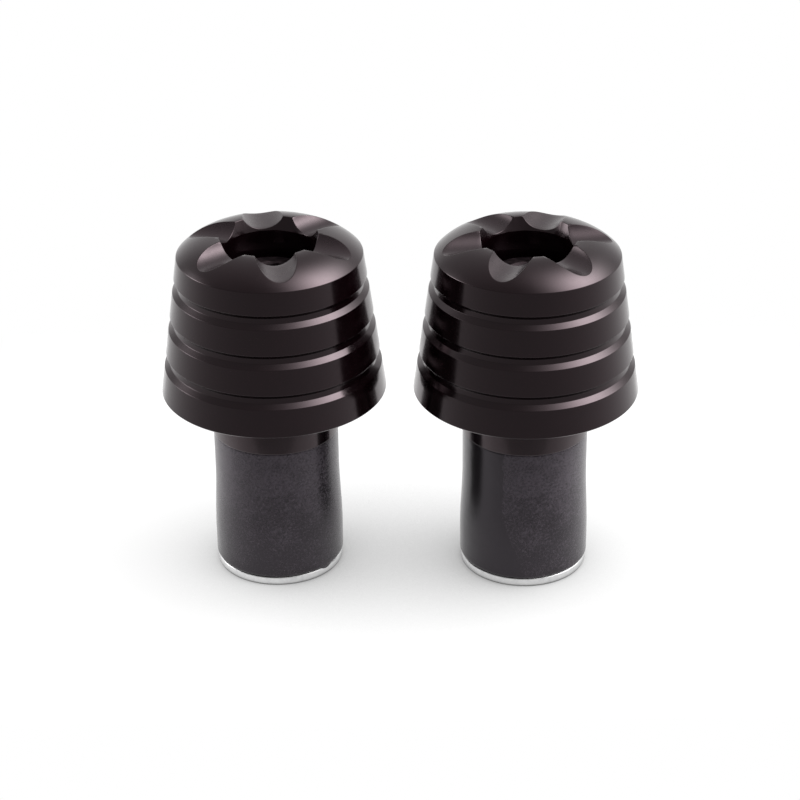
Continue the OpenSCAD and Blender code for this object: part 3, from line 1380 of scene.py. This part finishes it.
@dataclass
class EndNut:
    """Bare aluminium nut: a flange under the sleeve and a cone inside it.

    Args:
        unit: The bar end that it belongs to.
    """

    unit: Unit
    flange_t: float = 1.2 * MM
    hole_r: float = 3.05 * MM
    foot_r: float = 6.8 * MM
    tip_r: float = 5.3 * MM
    flange_edge: float = 0.14 * MM
    foot_edge: float = 0.30 * MM
    hole_edge: float = 0.35 * MM
    segments: int = 224

    def build(self) -> bpy.types.Object:
        """Returns the dressed nut's mesh as an object."""
        low, high = (corner.z for corner in self.unit.box(Piece.END_NUT))
        flange_r = self.unit.radius(Piece.END_NUT)
        flange_z = low + self.flange_t
        corners = [
            Corner(flange_r, low, self.foot_edge),
            Corner(flange_r, flange_z, self.flange_edge),
            Corner(self.foot_r, flange_z, self.flange_edge),
            Corner(self.tip_r, high, self.hole_edge),
            Corner(self.hole_r, high, self.hole_edge),
            Corner(self.hole_r, low, self.hole_edge),
        ]
        return turned_ring(f"{self.unit.side.value}_turned_end_nut", corners, self.segments)


@dataclass
class BarEnd:
    """One whole bar end.

    Args:
        side: Which one it is.
        first_scallop: Angle of one of its scallops, in degrees.
        socket_angle: Angle of one corner of its screw's hexagon, in degrees.
        rubber_seed: Shift of its sleeve's unevenness.
        flash_angle: Angle of the flash at its sleeve's lower edge in degrees, or None.
        painted_shade_angle: Middle of its sleeve's side with painted shade in degrees, or None.
    """

    side: Side
    first_scallop: float
    socket_angle: float
    rubber_seed: float
    flash_angle: float | None
    painted_shade_angle: float | None

    def build(self, finishes: dict[Slot, bpy.types.Material]) -> None:
        """Builds, dresses and places every piece.

        Args:
            finishes: Material of each slot.
        """
        unit = Unit(self.side)
        sleeve = RubberSleeve(unit, self.rubber_seed, self.flash_angle, self.painted_shade_angle)
        for builder, piece, body, slot in (
            (TurnedWeight(unit, self.first_scallop), Piece.WEIGHT, Body.BAR_END, Slot.ANODISED),
            (CapScrew(unit, self.socket_angle), Piece.CAP_SCREW, Body.SCREW, Slot.OXIDE),
            (washer(unit), Piece.WASHER, Body.BAR_END, Slot.ZINC),
            (collar(unit), Piece.COLLAR, Body.BAR_END, Slot.ANODISED),
            (sleeve, Piece.RUBBER_SLEEVE, Body.BAR_END, Slot.RUBBER),
            (EndNut(unit), Piece.END_NUT, Body.NUT, Slot.ALUMINIUM),
        ):
            made = builder.build()
            made.data.materials.append(finishes[slot])
            unit.place(made, piece, body, slot)
            if builder is sleeve:
                sleeve.squeeze(made)


@dataclass(frozen=True)
class Softbox:
    """Softbox with a soft edge, as a glow in the surroundings.

    Args:
        bearing: Angle from the viewer's side round to the right, in degrees.
        height: Angle above the horizon, in degrees.
        peak: Brightness of its middle.
        tightness: How quickly it falls off, the higher the smaller.
    """

    bearing: float
    height: float
    peak: float
    tightness: float

    def way(self) -> Vector:
        """Returns the direction that the light comes from."""
        turn, up = math.radians(self.bearing), math.radians(self.height)
        return Vector((math.cos(up) * math.sin(turn), -math.cos(up) * math.cos(turn), math.sin(up)))

    def level(self, sheet: NodeSheet, way: bpy.types.NodeSocket) -> bpy.types.NodeSocket:
        """Makes the brightness of the light in each direction.

        Args:
            sheet: Sheet of the world.
            way: Direction that is looked in.

        Returns:
            The brightness.
        """
        node = sheet.add("ShaderNodeVectorMath", {0: way, 1: self.way()}, operation="DOT_PRODUCT")
        off = sheet.math("SUBTRACT", node.outputs["Value"], 1.0)
        fall = sheet.math("EXPONENT", sheet.product(off, self.tightness))
        return sheet.product(fall, self.peak)


@dataclass
class Studio:
    """White sweep in a dim room, with a large softbox at the right and a small one low at the left.

    Args:
        floor_colour: Colour of the floor as it lights the pair.
        seen_colour: Colour of the floor as it is seen, under its glow.
        floor_glow: Plain white that is added where the floor is seen.
        contact: Reach of the soft shade around what stands on the floor.
        contact_depth: How much of the glow that shade can take away.
        shade_samples: Rays that each shade is worked out with.
        gap: Reach of the dark line in the gap right under an edge.
        gap_seen: Brightness in that gap and out of it.
        gap_seen_span: How open the floor is at those two.
        gap_mirrored: Brightness in the gap and out of it, in what mirrors the floor.
        gap_mirrored_span: How open the floor is at those two.
        floor_half_width: Half the width of the floor.
        floor_front: Where the floor ends on the viewer's side.
        floor_back: Where the floor ends behind the pair.
        mirrored_front: Brightness of the floor's front edge in what mirrors it.
        mirrored_full: How far back the floor is fully white in what mirrors it.
        horizon: Heights between which the sweep turns into the room.
        sweep: Brightness of the sweep below the horizon.
        sweep_fall: How quickly the sweep darkens from the back to the viewer's side.
        sweep_right: How much lighter the sweep is at the right.
        front: Brightness of the room on the viewer's side.
        behind: Brightness of the room that is added towards the back.
        behind_span: Where that starts and where it is full.
        right: Brightness of the room that is added towards the right.
        right_span: Where that starts and where it is full.
        backdrop_side: How far to the back the white backdrop starts, as a part of the direction.
        backdrop_top: Heights between which it fades into the room.
        key: The large softbox.
        fill: The small softbox.
    """

    floor_colour: Colour = (0.72, 0.72, 0.72)
    seen_colour: Colour = (0.16, 0.16, 0.16)
    floor_glow: float = 0.95
    contact: float = 0.036
    contact_depth: float = 0.81
    shade_samples: int = 12
    gap: float = 1.4 * MM
    gap_seen: Span = (0.72, 1.0)
    gap_seen_span: Span = (0.2, 0.8)
    gap_mirrored: Span = (0.10, 1.30)
    gap_mirrored_span: Span = (0.25, 0.8)
    floor_half_width: float = 0.065
    floor_front: float = -0.040
    floor_back: float = 0.07
    mirrored_front: float = 0.50
    mirrored_full: float = 0.004
    horizon: Span = (-0.15, 0.15)
    sweep: float = 0.61
    sweep_fall: float = 0.75
    sweep_right: float = 0.12
    front: float = 0.22
    behind: float = 0.30
    behind_span: Span = (-0.6, 0.9)
    right: float = 0.12
    right_span: Span = (-0.1, 0.8)
    backdrop_side: float = 0.6
    backdrop_top: Span = (0.10, 0.80)
    key: Softbox = Softbox(bearing=90.0, height=48.0, peak=8.0, tightness=12.8)
    fill: Softbox = Softbox(bearing=-101.0, height=14.0, peak=6.5, tightness=40.0)

    def floor(self) -> None:
        """Lays the floor, which keeps its shadows and is otherwise white where it is seen."""
        mesh = bpy.data.meshes.new("studio_floor")
        x, front, back = self.floor_half_width, self.floor_front, self.floor_back
        mesh.from_pydata([(-x, front, 0), (x, front, 0), (x, back, 0), (-x, back, 0)], [], [(0, 1, 2, 3)])
        made = bpy.data.objects.new("studio_floor", mesh)
        bpy.context.scene.collection.objects.link(made)
        mesh.materials.append(self.floor_finish())

    def floor_finish(self) -> bpy.types.Material:
        """Returns the floor's material, which glows by how open it is where it is seen or mirrored."""
        material, sheet = new_sheet("studio_white")
        rays = sheet.add("ShaderNodeLightPath").outputs
        seen = sheet.total(rays["Is Camera Ray"], rays["Is Transmission Ray"])
        mirrored = rays["Is Glossy Ray"]
        colour = sheet.mix(seen, rgba(self.floor_colour), rgba(self.seen_colour))
        colour = sheet.mix(mirrored, colour, rgba(BLACK))
        matt = sheet.add("ShaderNodeBsdfDiffuse", {"Color": colour}).outputs[0]
        samples = self.shade_samples
        around, near = (
            sheet.add("ShaderNodeAmbientOcclusion", {"Distance": reach}, samples=samples).outputs["AO"]
            for reach in (self.contact, self.gap)
        )
        clear = sheet.product(
            sheet.spread(around, FULL, (1.0 - self.contact_depth, 1.0)),
            sheet.spread(near, self.gap_seen_span, self.gap_seen),
        )
        gap = sheet.spread(near, self.gap_mirrored_span, self.gap_mirrored)
        along = sheet.add("ShaderNodeSeparateXYZ", {0: sheet.place()}).outputs[1]
        fade = sheet.spread(along, (self.floor_front, self.mirrored_full), (self.mirrored_front, 1.0))
        seen_glow = sheet.product(seen, self.floor_glow, clear)
        mirrored_glow = sheet.product(mirrored, fade, gap, clear)
        inputs = {"Color": rgba(WHITE), "Strength": sheet.total(seen_glow, mirrored_glow)}
        white = sheet.add("ShaderNodeEmission", inputs).outputs[0]
        surface = sheet.add("ShaderNodeAddShader", {0: matt, 1: white}).outputs[0]
        sheet.add("ShaderNodeOutputMaterial", {0: surface})
        return material

    def level(self, sheet: NodeSheet, way: bpy.types.NodeSocket) -> bpy.types.NodeSocket:
        """Makes the brightness of the sweep below the horizon, and of the room and softboxes above it.

        Args:
            sheet: Sheet of the world.
            way: Direction that is looked in.

        Returns:
            The brightness in each direction.
        """
        x, y, z = sheet.add("ShaderNodeSeparateXYZ", {0: way}).outputs
        up = sheet.spread(z, self.horizon)
        behind = sheet.spread(y, self.behind_span, (0.0, self.behind))
        right = sheet.spread(x, self.right_span, (0.0, self.right))
        room = sheet.product(up, sheet.total(self.front, behind, right))
        fall = sheet.math("EXPONENT", sheet.product(y, self.sweep_fall))
        side = sheet.total(sheet.product(x, self.sweep_right), 1.0)
        sweep = sheet.product(sheet.math("SUBTRACT", 1.0, up), fall, side, self.sweep)
        return sheet.total(room, sweep, self.key.level(sheet, way), self.fill.level(sheet, way))

    def surroundings(self) -> None:
        """Makes the world: a dim room over a white sweep, with a white backdrop behind the pair."""
        world = bpy.data.worlds.new("studio_surroundings")
        bpy.context.scene.world = world
        world.use_nodes = True
        sheet = NodeSheet(world.node_tree)
        way = sheet.add("ShaderNodeTexCoord").outputs["Generated"]
        dim, white = (
            sheet.add("ShaderNodeBackground", {"Color": rgba(WHITE), "Strength": strength}).outputs[0]
            for strength in (self.level(sheet, way), 1.0)
        )
        _, y, z = sheet.add("ShaderNodeSeparateXYZ", {0: way}).outputs
        back = sheet.spread(y, (self.backdrop_side, 1.0))
        low = sheet.spread(z, self.backdrop_top, (1.0, 0.0))
        rays = sheet.add("ShaderNodeLightPath").outputs
        mirrored = sheet.product(rays["Is Glossy Ray"], back, low)
        seen = sheet.total(rays["Is Camera Ray"], rays["Is Transmission Ray"], mirrored)
        glow = sheet.add("ShaderNodeMixShader", {0: seen, 1: dim, 2: white}).outputs[0]
        sheet.add("ShaderNodeOutputWorld", {0: glow})

    def build(self) -> None:
        """Adds floor and surroundings to the scene."""
        self.floor()
        self.surroundings()
        LOG.info("studio with softboxes at %.0f and %.0f degrees", self.key.bearing, self.fill.bearing)


@dataclass
class Camera:
    """Camera at the photograph's angle.

    Args:
        pitch: Angle below the horizon, in degrees.
        roll: Tilt about the line of sight, in degrees.
        distance: Distance to the point looked at.
        aim_z: Height of that point over the middle of the pair.
        focal_px: Focal length in pixels of the frame.
        frame_px: Width of the frame in pixels.
        sensor: Width of the sensor in millimetres.
        near: Distance below which nothing is seen.
    """

    pitch: float = 27.89
    roll: float = -0.6
    distance: float = 325.6 * MM
    aim_z: float = 24.19 * MM
    focal_px: float = 2410.0
    frame_px: float = 800.0
    sensor: float = 36.0
    near: float = 10.0 * MM

    def build(self) -> None:
        """Adds the camera and makes it the scene's."""
        data = bpy.data.cameras.new("photo_camera")
        data.sensor_fit = "HORIZONTAL"
        data.sensor_width = self.sensor
        data.lens = self.focal_px / self.frame_px * self.sensor
        data.clip_start = self.near
        made = bpy.data.objects.new("photo_camera", data)
        down = math.radians(self.pitch)
        up = self.distance * math.sin(down)
        made.location = (0.0, -self.distance * math.cos(down), self.aim_z + up)
        aim = Vector((0.0, 0.0, self.aim_z)) - made.location
        look = aim.to_track_quat("-Z", "Y").to_matrix().to_4x4()
        tilt = look @ Matrix.Rotation(math.radians(self.roll), 4, "Z")
        made.rotation_euler = tilt.to_euler()
        bpy.context.scene.collection.objects.link(made)
        bpy.context.scene.camera = made


BAR_ENDS = (
    BarEnd(
        Side.LEFT,
        first_scallop=40.0,
        socket_angle=12.0,
        rubber_seed=3.1,
        flash_angle=-41.0,
        painted_shade_angle=None,
    ),
    BarEnd(
        Side.RIGHT,
        first_scallop=9.0,
        socket_angle=25.0,
        rubber_seed=11.7,
        flash_angle=None,
        # Painted shade on the side of the right sleeve that faces the left bar end.
        painted_shade_angle=-150.0,
    ),
)


def make_finishes() -> dict[Slot, bpy.types.Material]:
    """Returns the material of each slot."""
    return {
        Slot.ANODISED: ANODISED.material(),
        Slot.OXIDE: OXIDE.material(),
        Slot.ZINC: ZINC.material(),
        Slot.RUBBER: RUBBER.material(),
        Slot.ALUMINIUM: ALUMINIUM.material(),
    }


def main() -> None:
    """Loads the frame and builds camera, studio and both bar ends around it."""
    logging.basicConfig(level=logging.INFO, format="%(name)s: %(message)s")
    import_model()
    bpy.context.scene.view_settings.view_transform = "Standard"
    Camera().build()
    Studio().build()
    finishes = make_finishes()
    for bar_end in BAR_ENDS:
        bar_end.build(finishes)


if __name__ == "__main__":
    main()
